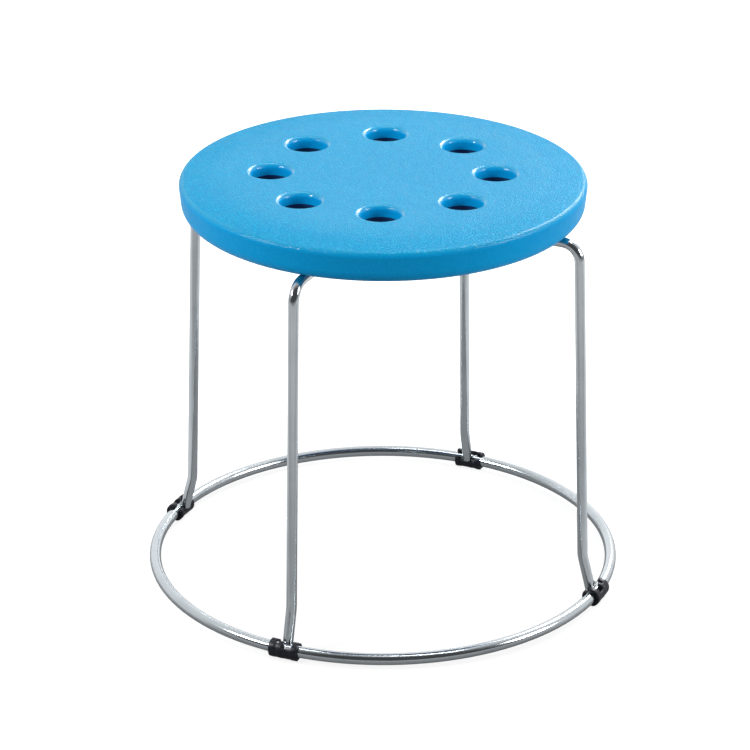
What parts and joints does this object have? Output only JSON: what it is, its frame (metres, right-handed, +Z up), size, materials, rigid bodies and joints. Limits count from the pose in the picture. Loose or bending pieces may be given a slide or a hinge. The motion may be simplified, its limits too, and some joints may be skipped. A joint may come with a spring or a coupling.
{
  "type": "stacking stool",
  "caption": "Low round stool with a thick moulded seat pierced by round holes, on bent rod legs welded to a floor ring, made to stack.",
  "frame": {"origin": "on the floor, under the centre of the seat", "axes": "+Z up, the four legs on the X and Y axes"},
  "size_m": [0.4244, 0.4244, 0.3688],
  "materials": {
    "seat_moulding": "satin, fine leather-like grain",
    "board": "dark stained plywood",
    "plated_steel": "bright plated",
    "fastener_steel": "zinc plated",
    "glide_rubber": "satin black"
  },
  "bodies": {
    "root": {"seat_cover": "seat_moulding", "seat_board": "board", "mounting_plate": "plated_steel", "base_ring": "plated_steel", "ring_welds": "plated_steel", "plate_welds": "plated_steel", "leg_front_right": "plated_steel", "leg_back_right": "plated_steel", "leg_back_left": "plated_steel", "leg_front_left": "plated_steel", "seat_screws": "fastener_steel", "screw_washers": "fastener_steel", "threaded_inserts": "fastener_steel", "glide_front_right": "glide_rubber", "glide_back_right": "glide_rubber", "glide_back_left": "glide_rubber", "glide_front_left": "glide_rubber"}
  },
  "joints": []
}
